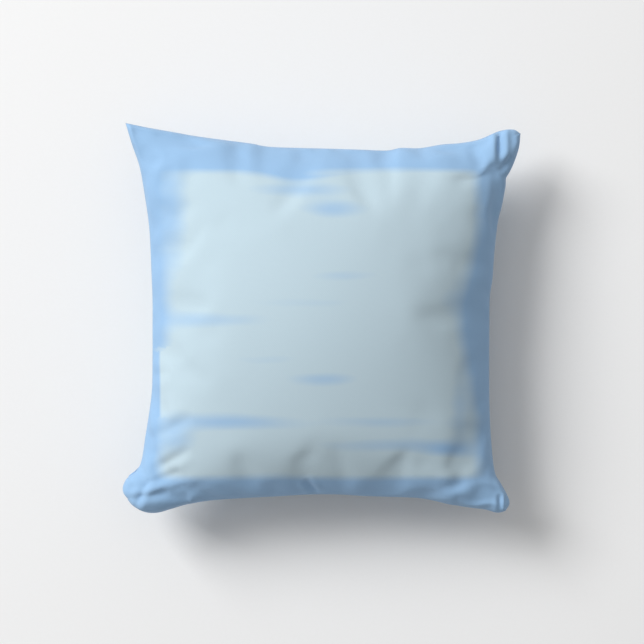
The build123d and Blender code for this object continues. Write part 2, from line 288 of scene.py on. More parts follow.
@dataclass(frozen=True)
class PlainFinish:
    """A finish of one colour family with a fine texture in the surface."""

    name: str
    low: str  # the darker colour of the texture
    high: str
    pattern: Pattern
    size_mm: float  # spacing of the texture
    roughness: float
    metallic: float = 0.0
    sheen: float = 0.0
    coat: float = 0.0
    bump: float = 0.3

    def height(self, tree: bpy.types.NodeTree) -> bpy.types.NodeSocket:
        """Adds the texture's height, between about 0 and 1."""
        place = add(tree, "ShaderNodeTexCoord").outputs["Object"]
        per_metre = 1 / (self.size_mm * MM)
        if self.pattern is Pattern.WOVEN:
            axes = add(tree, "ShaderNodeSeparateXYZ", {0: place})
            turn = math.pi * per_metre
            deep = math_node(tree, "ADD", axes.outputs[1], axes.outputs[2])
            waves = [
                math_node(tree, "SINE", math_node(tree, "MULTIPLY", value, turn))
                for value in (axes.outputs[0], deep)
            ]
            return math_node(tree, "MULTIPLY_ADD", math_node(tree, "MULTIPLY", *waves), 0.5, 0.5)
        stretch = {
            Pattern.FIBRE: (0.25, 1.0, 1.0),
            Pattern.TWISTED: (1.0, 1.0, 1.0),
            Pattern.BRUSHED: (0.08, 1.0, 1.0),
            Pattern.MOULDED: (1.0, 1.0, 1.0),
        }[self.pattern]
        drawn = add(tree, "ShaderNodeMapping", {0: place, 3: stretch}).outputs[0]
        links = {"Vector": drawn, "Scale": per_metre, "Detail": 4.0}
        return add(tree, "ShaderNodeTexNoise", links).outputs["Fac"]

    def build(self) -> bpy.types.Material:
        """Makes the material."""
        material, tree, shader = new_material(self.name)
        height = self.height(tree)
        colour = blend_colours(tree, height, linear(self.low), linear(self.high))
        tree.links.new(colour, shader.inputs["Base Color"])
        links = {"Strength": self.bump, "Distance": self.size_mm * MM * 0.4, "Height": height}
        tree.links.new(add(tree, "ShaderNodeBump", links).outputs[0], shader.inputs["Normal"])
        rough = {0: height, 1: 0.0, 2: 1.0, 3: self.roughness * 0.9, 4: min(1.0, self.roughness * 1.1)}
        tree.links.new(add(tree, "ShaderNodeMapRange", rough).outputs[0], shader.inputs["Roughness"])
        shader.inputs["Metallic"].default_value = self.metallic
        shader.inputs["Sheen Weight"].default_value = self.sheen
        shader.inputs["Coat Weight"].default_value = self.coat
        return material


THREAD = PlainFinish("spun_polyester_thread", "8DB6DD", "B5D6F2", Pattern.TWISTED, 0.3, 0.6, sheen=0.2)
INNER_CLOTH = PlainFinish("plain_cotton_ticking", "E6E3DC", "F7F5F0", Pattern.WOVEN, 1.0, 0.9, sheen=0.1)
FIBRE = PlainFinish("hollow_polyester_fibre", "DADADA", "FBFBFB", Pattern.FIBRE, 3.0, 0.95, sheen=0.5, bump=0.9)
SATIN = PlainFinish("label_satin", "E9E9EA", "FAFAFA", Pattern.WOVEN, 0.4, 0.45, sheen=0.3)
TAPE = PlainFinish("woven_polyester_tape", "86B2DD", "A5CBEE", Pattern.WOVEN, 0.7, 0.75, sheen=0.15, bump=0.5)
NYLON = PlainFinish("nylon_monofilament", "86B4DE", "9CC5EA", Pattern.MOULDED, 0.8, 0.32, bump=0.05)
TIN = PlainFinish("rolled_tin_plate", "A8A8A6", "C9C9C8", Pattern.BRUSHED, 0.5, 0.35, metallic=1.0, bump=0.1)
ENAMEL = PlainFinish("baked_enamel_on_zinc", "7FAEDB", "8EBBE6", Pattern.MOULDED, 1.6, 0.3, coat=0.5, bump=0.06)


# ------------------------------------------------------------------ the print
@dataclass
class Print:
    """The printed ground, in millimetres of the pillow as it is seen from straight above."""

    points: np.ndarray  # (count, 2)

    def cloud(self) -> np.ndarray:
        """How pale the sky is at each point: a soft-edged patch, less some blue brush strokes."""
        x, y = self.points[:, 0], self.points[:, 1]

        def soft(value: np.ndarray, width: float) -> np.ndarray:
            """1 well above zero, 0 well below, over the given width."""
            return 1 / (1 + np.exp(-4 * value / width))

        left = np.where(y < -30, x + 162, x + 155 + 0.03 * np.abs(y))
        right = 155 - x - 16 * np.exp(-(((y + 10) / 60) ** 2))
        top = 147 - y - 10 * np.exp(-(((x + 25) / 34) ** 2))
        bottom = y + 160
        pale = (
            soft(left, np.where((y < -34) & (y > -100), 3.0, 16.0))
            * soft(right, 16.0) * soft(top, 9.0) * soft(bottom, 9.0)
        )
        for centre_x, centre_y, half_x, half_y, depth in (
            (-120, -3, 60, 8, 0.55), (-95, -105, 62, 8, 0.7), (2, -62, 34, 7, 0.6), (10, 108, 30, 9, 0.65),
            (-18, 128, 50, 7, 0.6), (20, 42, 42, 6, 0.35), (60, -104, 62, 7, 0.45), (60, -128, 70, 7, 0.5),
            (-20, 14, 46, 6, 0.2), (138, 20, 20, 24, 0.3), (126, -132, 26, 7, 0.8), (-60, -42, 46, 6, 0.25),
            (-152, 108, 16, 60, 0.7), (138, -96, 10, 40, 0.4), (-148, -118, 20, 18, 0.6),
        ):
            pale = pale * (1 - depth * np.exp(-(((x - centre_x) / half_x) ** 2 + ((y - centre_y) / half_y) ** 2)))
        streak = np.exp(-(((x - 45) / 60) ** 4 + ((y - 144) / 6) ** 2))
        return np.clip(np.maximum(pale, 0.75 * streak), 0, 1)


# ------------------------------------------------------------------ the cover
@dataclass
class PillowForm:
    """The pillow's shape: two crowned panels joined round an outline whose sides pull in.

    u and v run from -1 to 1 over a panel. p and q are their places on the flat plan, the sine of
    an arc, so that the panels drop steeply to the seam. All sizes are in millimetres.
    """

    half_width: float = 169.0
    half_height: float = 172.5
    centre_y: float = -4.0
    flare_side: float = 29.5
    flare_top: float = 27.0
    flare_bottom: float = 19.0
    flare_power: float = 2.4
    straight_share: float = 0.72
    seam_height: float = 62.0
    rise_front: float = 84.0
    rise_back: float = 72.0
    arc: float = math.radians(82)
    slot_half_length: float = 131.0
    slot_half_gap: float = 4.2
    zip_y: float = -167.9  # the chain's middle line
    camera_height: float = 2000.0  # over the seam, for laying out the print

    # The edge of the real cover, which is a little uneven, corner to corner.
    top_edge: tuple = (
        (-196.5, 194.5), (-172, 189.5), (-149, 185.5), (-127, 181.5), (-98, 177.5), (-71, 174), (-53, 170.8),
        (-20, 169.5), (8, 168.8), (40, 167.8), (65, 167), (79, 169.6), (98, 169.4), (120, 173), (138, 174.4),
        (157, 178), (177, 186.3), (191, 188), (198.5, 184),
    )
    right_edge: tuple = (
        (183.5, -193), (187.5, -185), (184.5, -176), (179, -166), (172.5, -153), (168.8, -118), (167.4, -83),
        (167.2, -48), (167.4, -12), (167.8, 20), (170.6, 40), (172.6, 68), (176, 96), (180, 112), (183.5, 131),
        (184, 139), (188, 146), (192.5, 156), (197, 170), (198.5, 184),
    )
    bottom_edge: tuple = (
        (-194, -181), (-187, -189), (-176, -194.5), (-164, -195), (-151, -191.5), (-134, -186.6),
        (-113, -182.8), (-85, -180.6), (-40, -178.2), (-12, -176.6), (16, -176.6), (40, -178), (62, -178.8),
        (92, -179.8), (108, -182), (126, -186.2), (145, -189.6), (162, -191.8), (175, -195), (183.5, -193),
    )
    left_edge: tuple = (
        (-194, -181), (-199, -172), (-196, -162), (-186, -153.5), (-180.5, -143), (-176.5, -118), (-172.5, -93),
        (-170, -71), (-169.5, -40), (-169.5, -12), (-169.5, 17), (-170.6, 46), (-172.6, 88), (-177.4, 123),
        (-182.5, 151), (-190, 173), (-196.5, 194.5),
    )

    # Soft folds in the front: two ends, half width and depth.
    folds: tuple = (
        (-86, 174, -74, 146, 8, 1.0), (-24, 171, -16, 152, 7, 0.7), (66, 170, 54, 148, 8, 1.1),
        (104, 172, 96, 154, 7, 0.7), (177.5, 190, 176.5, 150, 3.6, 4.2), (188, 158, 176, 144, 4, 2.2),
        (-176, -158, -128, -128, 5, 2.0), (-186, -170, -138, -150, 5, 2.6), (-190, -180, -150, -172, 4.5, 2.4),
        (-166, -118, -126, -96, 6, 1.6), (-16, -162, -4, -175, 3.4, 2.4), (-184, -186, -172, -158, 4, 2.2),
        (177, -178, 177, -196, 2.8, 1.6), (183.5, -178, 183, -192, 2.2, 1.2), (120, -168, 150, -160, 6, 1.2),
        (-168, -58, -148, -52, 6, 0.9), (150, 168, 158, 148, 6, 1.4), (-184, 170, -160, 150, 7, 1.2),
    )

    def plan(self, p: np.ndarray, q: np.ndarray, inset: float = 0, trim: float = 0) -> np.ndarray:
        """Places on the flat plan, before the outline's unevenness.

        x grows in proportion to p and then flares with p cubed towards the corners; y does the
        same with q. The flares are powers of the other one.

        Returns:
            An array whose last axis is x, y.
        """
        side = (self.flare_side - trim) * np.abs(q) ** self.flare_power
        x = p * (self.half_width - inset) + p**3 * side
        past = np.maximum(0, np.abs(p) - self.straight_share) / (1 - self.straight_share)
        corner = np.where(
            q > 0,
            (self.flare_top - trim) * np.abs(p) ** self.flare_power,
            (self.flare_bottom - trim) * past**2,
        )
        y = self.centre_y + q * (self.half_height - inset) + q**3 * corner
        return np.stack([x, y], -1)

    def edge_shift(self, knots: tuple, edge: np.ndarray) -> np.ndarray:
        """How far each point of a plain edge moves to lie on the uneven one, at equal shares of the run."""
        line = smooth_line(knots, 400)
        shares = run_share(line)
        wanted = [np.interp(run_share(edge), shares, line[:, k]) for k in (0, 1)]
        return np.stack(wanted, -1) - edge

    def uneven_plan(
        self, p: np.ndarray, q: np.ndarray, inset: float = 0, trim: float = 0, behind_zip: bool = False
    ) -> np.ndarray:
        """The plan with its outline made uneven, moved in by inset with its corners trimmed.

        Each edge's shift fades inwards with the fourth power of the share of the way across, and
        what two edges share at a corner is counted once.

        Args:
            p: Places across, one row for each row of the grid.
            q: Places up.
            inset: How far the outline is moved in.
            trim: How much the corners are shortened.
            behind_zip: True for what lies inside the cover, which stays clear of the zip and its pull.

        Returns:
            The plan's x, y.
        """
        flat = self.plan(p, q)
        top = self.edge_shift(self.top_edge, flat[-1])[None]
        bottom = self.edge_shift(self.bottom_edge, flat[0])[None]
        if behind_zip:
            inner_x = self.plan(p, q, inset, trim)[0][:, 0]
            past = np.clip((np.abs(inner_x) - self.slot_half_length - 4) / 16, 0, 1)
            bottom = bottom * (past * past * (3 - 2 * past))[None, :, None]
        right = self.edge_shift(self.right_edge, flat[:, -1])[:, None]
        left = self.edge_shift(self.left_edge, flat[:, 0])[:, None]
        up = (((1 + q) / 2) ** 4)[..., None]
        down = (((1 - q) / 2) ** 4)[..., None]
        to_right = (((1 + p) / 2) ** 4)[..., None]
        to_left = (((1 - p) / 2) ** 4)[..., None]
        shift = top * up + bottom * down + right * to_right + left * to_left
        for corner, weight in (
            (top[:, -1:], up * to_right), (top[:, :1], up * to_left),
            (bottom[:, -1:], down * to_right), (bottom[:, :1], down * to_left),
        ):
            shift = shift - corner * weight
        return self.plan(p, q, inset, trim) + shift

    def height(self, u: np.ndarray, v: np.ndarray) -> np.ndarray:
        """Height of a panel, 1 in the middle: the two sections' product, to a power that drops from
        1 towards the corners and the lower edge, which are fuller."""
        power = (1 - 0.5 * np.abs(u * v) ** 1.5) * (1 - 0.24 * np.clip(-v, 0, 1))
        return np.clip(self.crown(u) * self.crown(v), 0, 1) ** power

    def crown(self, u: np.ndarray) -> np.ndarray:
        """Height of a section: the cosine of its arc, scaled to run from 0 at the seam to 1."""
        return (np.cos(self.arc * u) - math.cos(self.arc)) / (1 - math.cos(self.arc))

    def steps(self, count: int) -> tuple[np.ndarray, ...]:
        """u, v, p and q of a square grid."""
        line = np.linspace(-1, 1, count)
        u, v = np.meshgrid(line, line)
        return u, v, np.sin(self.arc * u) / math.sin(self.arc), np.sin(self.arc * v) / math.sin(self.arc)

    def zip_lift(self, x: np.ndarray, q: np.ndarray) -> np.ndarray:
        """How far the lip over the zip stands off the seam's height, fading up the panel."""
        along = np.clip((self.slot_half_length + 4 - np.abs(x)) / 6, 0, 1)
        smooth = along * along * (3 - 2 * along)
        return self.slot_half_gap * smooth * np.clip((-q - 0.9) / 0.1, 0, 1) ** 2

    def panel(self, count: int, side: int) -> np.ndarray:
        """A panel's outer surface before it settles.

        Args:
            count: Points along each side of its grid.
            side: 1 for the front and -1 for the back.

        Returns:
            Points in millimetres, in rows.
        """
        u, v, p, q = self.steps(count)
        flat = self.uneven_plan(p, q)
        height = self.height(u, v)
        x, y = flat[..., 0], flat[..., 1]
        rise = self.rise_front if side > 0 else self.rise_back
        z = side * rise * height
        z = z + side * 4.5 * np.exp(-(((x + 176) / 20) ** 2 + ((y + 174) / 19) ** 2)) * self.rim_fade(u, v)
        z = z + side * self.zip_lift(x, q)
        z = z + self.seam_height
        if side < 0:
            z = (z + np.sqrt(z * z + 9.0)) / 2
            z = z - z.min()
        return np.stack([x, y, z], -1)

    def rim_fade(self, u: np.ndarray, v: np.ndarray) -> np.ndarray:
        """0 on the seam, rising to 1 a little way in."""
        return np.clip((1 - np.maximum(np.abs(u), np.abs(v))) / 0.08, 0, 1)

    def normals(self, points: np.ndarray, side: int) -> np.ndarray:
        """Outward unit normals of a grid, from the cross product of its two directions."""
        down = np.gradient(points, axis=0)
        along = np.gradient(points, axis=1)
        normal = np.cross(along, down) * side
        return normal / np.maximum(np.linalg.norm(normal, axis=-1, keepdims=True), 1e-9)

    def seen_from_above(self, points: np.ndarray) -> np.ndarray:
        """Where points are seen from straight above, on the plane of the seam, in millimetres."""
        grow = self.camera_height / (self.camera_height - (points[..., 2] - self.seam_height))
        middle = np.array([0.0, CAMERA_Y])
        return middle + (points[..., :2] - middle) * grow[..., None]


CAMERA_Y = -4.5


@dataclass
class CoverCloth:
    """The cotton cover: two panels settled by a cloth simulation, then folded and closed at the seam."""

    form: PillowForm
    front_count: int = 257
    back_count: int = 161
    settle_count: int = 73
    cap: float = 3.0  # the most that settling may move a point, mm
    cloth: float = 0.8
    allowance: float = 10.0

    def settle(self) -> tuple[np.ndarray, np.ndarray]:
        """Lets a coarse closed copy of both panels settle as slack cloth over inside pressure.

        The seam and the patch that it lies on are held. Only the wrinkles are kept: the overall
        swelling is taken off, so that the pillow keeps its size.

        Returns:
            The movement of the front's and the back's coarse grids, in millimetres.
        """
        n = self.settle_count
        front, back = self.form.panel(n, 1), self.form.panel(n, -1)
        number = np.arange(n * n).reshape(n, n)
        back_number = number.copy()
        back_number[1:-1, 1:-1] = n * n + np.arange((n - 2) ** 2).reshape(n - 2, n - 2)
        points = np.vstack([front.reshape(-1, 3), back[1:-1, 1:-1].reshape(-1, 3)])
        faces = grid_faces(n, n)
        back_faces = back_number.ravel()[faces][:, ::-1]
        piece = make_piece("settling", points, np.vstack([faces, back_faces]).tolist(), bpy.data.materials.new("x"))
        held = piece.vertex_groups.new(name="held")
        edge = np.ones((n, n), bool)
        edge[2:-2, 2:-2] = False
        fixed = set(number[edge].tolist())
        fixed |= set(back_number[edge | (back[..., 2] < 0.8)].tolist())
        held.add(sorted(fixed), 1.0, "REPLACE")
        modifier = piece.modifiers.new("settle", "CLOTH")
        cloth = modifier.settings
        cloth.quality = 5
        cloth.mass = 0.25
        cloth.tension_stiffness = cloth.compression_stiffness = 14
        cloth.shear_stiffness = 4
        cloth.bending_stiffness = 0.4
        cloth.use_pressure = True
        cloth.uniform_pressure_force = 4
        cloth.shrink_min = -0.045
        cloth.effector_weights.gravity = 0
        cloth.vertex_group_mass = "held"
        modifier.collision_settings.use_collision = False
        modifier.point_cache.frame_start, modifier.point_cache.frame_end = 1, 20
        scene = bpy.context.scene
        for number_of_frame in range(1, 21):
            scene.frame_set(number_of_frame)
        settled = piece.evaluated_get(bpy.context.evaluated_depsgraph_get()).to_mesh()
        out = np.empty(len(settled.vertices) * 3, np.float32)
        settled.vertices.foreach_get("co", out)
        moved = out.reshape(-1, 3) / MM - points
        mesh = piece.data
        bpy.data.objects.remove(piece)
        bpy.data.meshes.remove(mesh)
        scene.frame_set(1)
        grids = [moved[number], moved[back_number]]
        return tuple(self.only_wrinkles(grid, edge) for grid in grids)

    def only_wrinkles(self, moved: np.ndarray, edge: np.ndarray) -> np.ndarray:
        """Takes the broad swelling off a grid of movements and caps what is left."""
        fine = blurred(moved, 1) - blurred(moved, 40)
        size = np.linalg.norm(fine, axis=-1, keepdims=True)
        fine = fine * self.cap / np.sqrt(self.cap**2 + size**2)
        LOG.info("settled: largest wrinkle %.1f mm, mean %.2f mm", size.max(), size.mean())
        hold = blurred((~edge).astype(float)[..., None], 1)
        hold[edge] = 0
        return fine * hold

    def folded(self, points: np.ndarray, side: int) -> np.ndarray:
        """Adds the seam's valley, its small puckers and, on the front, the soft folds."""
        count = points.shape[0]
        u, v, p, q = self.form.steps(count)
        normal = self.form.normals(points, side)
        from_seam = np.minimum.reduce([
            (1 - np.abs(p)) * self.form.half_width, (1 - np.abs(q)) * self.form.half_height
        ])
        along = np.where(np.abs(p) > np.abs(q), points[..., 1], points[..., 0])
        pucker = np.sin(along / 5.3 + 1.7 * np.sin(along / 17.0)) * (0.6 + 0.4 * np.sin(along / 31.0 + side))
        zip_part = (q < -0.9) & (np.abs(points[..., 0]) < self.form.slot_half_length + 6)
        pucker = np.where(zip_part, 0.25 * pucker, pucker)
        depth = 0.8 * pucker * np.exp(-from_seam / 4.0) * (1 - np.exp(-from_seam / 0.5))
        if side > 0:
            for x0, y0, x1, y1, half, fold in self.form.folds:
                step = np.array([x1 - x0, y1 - y0], float)
                to_point = points[..., :2] - np.array([x0, y0])
                share = (to_point @ step) / (step @ step)
                off = np.linalg.norm(to_point - np.clip(share, 0, 1)[..., None] * step, axis=-1)
                fade = np.sin(np.pi * np.clip(share * 0.8 + 0.2, 0, 1)) ** 0.7
                crease = np.exp(-((off / half) ** 2)) - 0.35 * np.exp(-(((off - 1.8 * half) / half) ** 2))
                depth = depth - fold * crease * fade
        edge_hold = np.clip(from_seam / 1.5, 0, 1)
        return points + normal * (depth * edge_hold)[..., None]

    def turned_in(self, points: np.ndarray, side: int) -> list:
        """The seam allowance: rings inside the panel's edge, with the lip turned back at the zip.

        Args:
            points: The panel's grid.
            side: 1 for the front and -1 for the back.

        Returns:
            Rings of points, from the edge inwards, each in the order of rim().
        """
        count = points.shape[0]
        _, _, p, q = self.form.steps(count)
        rim = self.rim(count)
        ring_p, ring_q = p.ravel()[rim], q.ravel()[rim]
        edge = points.reshape(-1, 3)[rim]
        rings = []
        lift = self.form.zip_lift(edge[:, 0], ring_q)[:, None] / self.form.slot_half_gap
        straight = np.clip(1 - (np.abs(edge[:, 0]) - self.form.slot_half_length) / 25, 0, 1) * (ring_q < -0.999)
        for inset, rise in ((1.2, 0.0), (4.0, 0.0), (8.3, 0.0), (8.8, 4.0), (self.allowance, 8.0)):
            inner = self.form.plan(ring_p, ring_q, inset, inset * 1.3)
            plain = self.form.plan(ring_p, ring_q)
            flat = inner + (edge[:, :2] - plain)
            flat[:, 0] += straight * (edge[:, 0] - flat[:, 0])
            at_zip = flat.copy()
            at_zip[:, 1] += (self.form.zip_y - edge[:, 1]) * min(inset / 8.6, 1) - (at_zip[:, 1] - edge[:, 1])
            flat = flat * (1 - lift) + at_zip * lift
            z = self.form.seam_height + side * (0.02 + lift[:, 0] * (self.form.slot_half_gap + rise))
            rings.append(np.column_stack([flat, z]))
        return rings

    def rim(self, count: int) -> np.ndarray:
        """Numbers of a grid's edge points, once round."""
        number = np.arange(count * count).reshape(count, count)
        return np.concatenate([number[0, :-1], number[:-1, -1], number[-1, :0:-1], number[:0:-1, 0]])

    def panel_piece(self, name: str, side: int, count: int, moved: np.ndarray | None, material) -> bpy.types.Object:
        """Builds one panel with its allowance, its cloth coordinates and its thickness."""
        points = self.form.panel(count, side)
        if moved is not None:
            points = points + refined(moved, count)
        points = self.folded(points, side)
        if side < 0:
            points[..., 2] = np.maximum(points[..., 2], 0.0)
        rim = self.rim(count)
        rings = self.turned_in(points, side)
        size = len(rim)
        everything = np.vstack([points.reshape(-1, 3), *rings])
        faces = [grid_faces(count, count)]
        order = [rim] + [count * count + k * size + np.arange(size) for k in range(len(rings))]
        for outer, inner in zip(order, order[1:]):
            faces.append(np.stack([outer, inner, np.roll(inner, -1), np.roll(outer, -1)], -1))
        quads = np.vstack(faces)
        if side < 0:
            quads = quads[:, ::-1]
        piece = make_piece(name, everything, quads.tolist(), material)
        self.lay_cloth(piece.data, count, len(rings), size)
        thick = piece.modifiers.new("cloth", "SOLIDIFY")
        thick.thickness = self.cloth * MM
        thick.offset = -1
        return piece

    def lay_cloth(self, mesh: bpy.types.Mesh, count: int, ring_count: int, size: int) -> None:
        """Gives a panel its cloth coordinates: the distance over the cloth, in metres."""
        u, v, _, _ = self.form.steps(count)
        reach = self.form.half_width * self.arc_share() * MM
        flat = np.stack([u * reach, v * reach], -1).reshape(-1, 2)
        rim = flat[self.rim(count)]
        rings = [rim * (1 + 0.02 * (k + 1)) for k in range(ring_count)]
        values = np.vstack([flat, *rings])
        loops = np.empty(len(mesh.loops), np.int32)
        mesh.loops.foreach_get("vertex_index", loops)
        layer = mesh.uv_layers.new(name="cloth")
        layer.data.foreach_set("uv", values[loops].astype(np.float32).ravel())

    def arc_share(self) -> float:
        """How much longer the cloth is than the flat width that it covers."""
        return self.form.arc / math.sin(self.form.arc)

    def build(self) -> np.ndarray | None:
        """Builds both panels.
        """
        moved = self.settle()
        front_cotton = PrintedCotton().build()
        back_cotton = PrintedCotton("dyed_cotton_poplin").build()
        front = self.panel_piece("cover_front_panel", 1, self.front_count, moved[0], front_cotton)
        co = np.empty(len(front.data.vertices) * 3, np.float32)
        front.data.vertices.foreach_get("co", co)
        seen = self.form.seen_from_above(co.reshape(-1, 3) / MM)
        give_values(front.data, "cloud", Print(seen).cloud())
        back = self.panel_piece("cover_back_panel", -1, self.back_count, moved[1], back_cotton)
        back_co = np.empty(len(back.data.vertices) * 3, np.float32)
        back.data.vertices.foreach_get("co", back_co)
        give_values(back.data, "cloud", Print(back_co.reshape(-1, 3)[:, :2] / MM).cloud())
        for piece, node in ((front, "cover_front"), (back, "cover_back")):
            finish_piece(piece, "cover", "printed_cotton", node)
        return moved


# ------------------------------------------------------------------ threads, inner cushion, label
@dataclass
class Sewing:
    """Thread, drawn as separate stitches or wound round an edge."""

    form: PillowForm
    pitch: float = 3.2  # one stitch and its gap
    radius: float = 0.16

    def ring(self, inset: float, z: float, trim: float, leave_zip: bool) -> list:
        """Evenly spaced points along the outline moved in, in one run or in one that leaves the zip."""
        _, _, p, q = self.form.steps(161)
        rim = CoverCloth(self.form).rim(161)
        line = self.form.uneven_plan(p, q, inset, trim, not leave_zip).reshape(-1, 2)[rim]
        line = np.vstack([line, line[:1]])
        if leave_zip:
            start = int(np.argmax(line[:, 0] > self.form.slot_half_length + 1))
            line = np.roll(line[:-1], -start, axis=0)
            keep = ~((np.abs(line[:, 0]) < self.form.slot_half_length + 1) & (line[:, 1] < -150))
            line = line[keep]
        run = run_share(line)
        length = np.linalg.norm(np.diff(line, axis=0), axis=1).sum()
        even = np.linspace(0, 1, int(length / self.pitch))
        points = np.stack([np.interp(even, run, line[:, k]) for k in (0, 1)] + [np.full(len(even), z)], -1)
        return points

    def stitches(self, points: np.ndarray, bulge: float) -> tuple[np.ndarray, np.ndarray]:
        """One small capsule for each step of a line, arched off the cloth by bulge.

        Returns:
            Points and faces.
        """
        rings, sides = 7, 6
        start, end = points[:-1], points[1:]
        along = end - start
        share = np.linspace(0.08, 0.92, rings)
        arch = np.sin(np.linspace(0, np.pi, rings))
        radius = self.radius * np.sqrt(np.clip(1 - np.linspace(-1, 1, rings) ** 6, 0.02, 1))
        unit = along / np.linalg.norm(along, axis=1, keepdims=True)
        up = np.array([0.0, 0.0, 1.0])
        across = np.cross(unit, up)
        turn = np.linspace(0, 2 * np.pi, sides, endpoint=False)
        middle = start[:, None] + along[:, None] * share[None, :, None] + up * (bulge * arch)[None, :, None]
        offset = (
            across[:, None, None] * (radius[:, None] * np.cos(turn))[None, ..., None]
            + up * (radius[:, None] * np.sin(turn))[None, ..., None]
        )
        shape = middle[:, :, None] + offset
        tube = grid_faces(rings, sides, wrap=True)
        count = rings * sides
        starts = (np.arange(len(start)) * count)[:, None, None]
        quads = (tube[None] + starts).reshape(-1, 4).tolist()
        caps = [list(range(k * count, k * count + sides)) for k in range(len(start))]
        ends = [list(range((k + 1) * count - 1, (k + 1) * count - sides - 1, -1)) for k in range(len(start))]
        return shape.reshape(-1, 3), quads + caps + ends

    def wound(self, path: np.ndarray, turns: float, first: np.ndarray, second: np.ndarray,
              wire: float, per_turn: int = 10, sides: int = 6) -> tuple[np.ndarray, list]:
        """A thread wound in a helix about a path.

        Its middle is the path, plus first times the cosine and second times the sine of an angle
        that grows evenly. Its section is a circle carried along with the wound line's own frame.

        Args:
            path: Points of the path.
            turns: How many times it goes round.
            first: The helix's first half axis at each point of the path, or one for all.
            second: Its second half axis.
            wire: The thread's radius.
            per_turn: Points for each turn.
            sides: Points round the thread.

        Returns:
            Points and faces.
        """
        count = int(turns * per_turn)
        share = np.linspace(0, 1, count)
        run = np.linspace(0, 1, len(path))
        middle = np.stack([np.interp(share, run, path[:, k]) for k in range(3)], -1)
        first = np.broadcast_to(first, path.shape)
        second = np.broadcast_to(second, path.shape)
        a = np.stack([np.interp(share, run, first[:, k]) for k in range(3)], -1)
        b = np.stack([np.interp(share, run, second[:, k]) for k in range(3)], -1)
        angle = 2 * np.pi * turns * share
        line = middle + a * np.cos(angle)[:, None] + b * np.sin(angle)[:, None]
        along = np.gradient(line, axis=0)
        along /= np.linalg.norm(along, axis=1, keepdims=True)
        out = line - middle
        out = out - (out * along).sum(1, keepdims=True) * along
        out /= np.linalg.norm(out, axis=1, keepdims=True)
        over = np.cross(along, out)
        turn = np.linspace(0, 2 * np.pi, sides, endpoint=False)
        shape = line[:, None] + wire * (
            out[:, None] * np.cos(turn)[None, :, None] + over[:, None] * np.sin(turn)[None, :, None]
        )
        last = (count - 1) * sides
        caps = [list(range(sides)), list(range(last + sides - 1, last - 1, -1))]
        return shape.reshape(-1, 3), grid_faces(count, sides, wrap=True).tolist() + caps

    def build(self) -> None:
        """Builds the seams' stitches and the overlocking."""
        thread = THREAD.build()
        height = self.form.seam_height
        for name, inset, trim, gap, leave in (
            ("cover_seam_thread", 2.4, 8, 0.9, True), ("insert_seam_thread", 13.6, 8, 0.6, False)
        ):
            rows = [self.stitches(self.ring(inset, height + side * gap, trim, leave), 0.12) for side in (1, -1)]
            split = len(rows[0][0])
            points = np.vstack([rows[0][0], rows[1][0]])
            faces = rows[0][1] + [[k + split for k in face] for face in rows[1][1]]
            piece = outward(make_piece(name + "_stitches", points, faces, thread))
            finish_piece(piece, "cover", "thread", name)
        path = self.ring(10.0, height, 13, True)
        inward = np.stack([-path[:, 0], -path[:, 1], np.zeros(len(path))], -1)
        inward /= np.linalg.norm(inward, axis=1, keepdims=True)
        points, faces = self.wound(path, len(path) * 1.0, inward * 1.6, np.array([0.0, 0.0, 1.1]), 0.18, 9, 5)
        piece = outward(make_piece("cover_overlock_loops", points, faces, thread))
        finish_piece(piece, "cover", "thread", "cover_overlock_thread")


